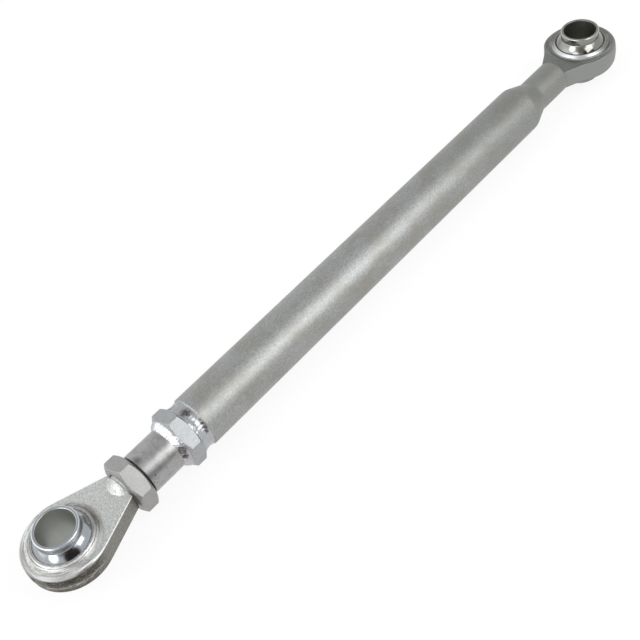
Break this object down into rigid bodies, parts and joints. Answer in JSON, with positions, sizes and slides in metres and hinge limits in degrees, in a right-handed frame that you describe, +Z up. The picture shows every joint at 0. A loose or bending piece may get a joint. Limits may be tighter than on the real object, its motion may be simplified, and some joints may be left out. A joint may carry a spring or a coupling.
{
  "type": "stabilizer link",
  "caption": "Adjustable steel link for a tractor's lower linkage: a tube with a fixed ball eye, and a threaded ball eye with a lock nut.",
  "frame": {"origin": "centre of the fixed ball, on its bore's axis, midway between the ball's two faces", "axes": "+X along the link to the adjustable end, +Z up along both ball bores at rest, +Y completes"},
  "size_m": [0.6126, 0.0574, 0.0434],
  "materials": {
    "ball_steel": "polished zinc-plated ball, mirror bright",
    "bright_forging": "bright zinc-plated forging with a fine grain",
    "dull_forging": "matte grey zinc-plated forging",
    "tube_zinc": "matte mottled zinc on drawn tube",
    "sleeve_zinc": "turned zinc-plated steel, satin",
    "hexagon_zinc": "zinc-plated hexagon steel, satin",
    "nut_zinc": "zinc-plated nut, satin",
    "weld_metal": "bright plated weld bead with dark spots"
  },
  "bodies": {
    "tube_assembly": {"tube": "tube_zinc", "fixed_eye": "dull_forging", "threaded_sleeve": "sleeve_zinc", "hex_collar": "hexagon_zinc", "sleeve_weld": "weld_metal", "tube_weld": "weld_metal"},
    "fixed_end_ball": {"fixed_ball": "ball_steel"},
    "adjustable_end": {"adjustable_eye": "bright_forging"},
    "adjustable_end_ball": {"adjustable_ball": "ball_steel"},
    "locking_nut": {"lock_nut": "nut_zinc"}
  },
  "joints": [
    {"name": "fixed_ball_tilt", "type": "hinge", "parent": "tube_assembly", "child": "fixed_end_ball", "pos_m": [0, 0, 0], "axis": [0, 1, 0], "range_deg": [-14, 14]},
    {"name": "length_adjust", "type": "slide", "parent": "tube_assembly", "child": "adjustable_end", "axis": [1, 0, 0], "range_m": [0, 0.06]},
    {"name": "adjustable_ball_tilt", "type": "hinge", "parent": "adjustable_end", "child": "adjustable_end_ball", "pos_m": [0.555, 0, 0], "axis": [0, 1, 0], "range_deg": [-14, 14]},
    {"name": "lock_nut_turn", "type": "hinge", "parent": "tube_assembly", "child": "locking_nut", "pos_m": [0.5027, 0, 0], "axis": [1, 0, 0], "continuous": true}
  ]
}
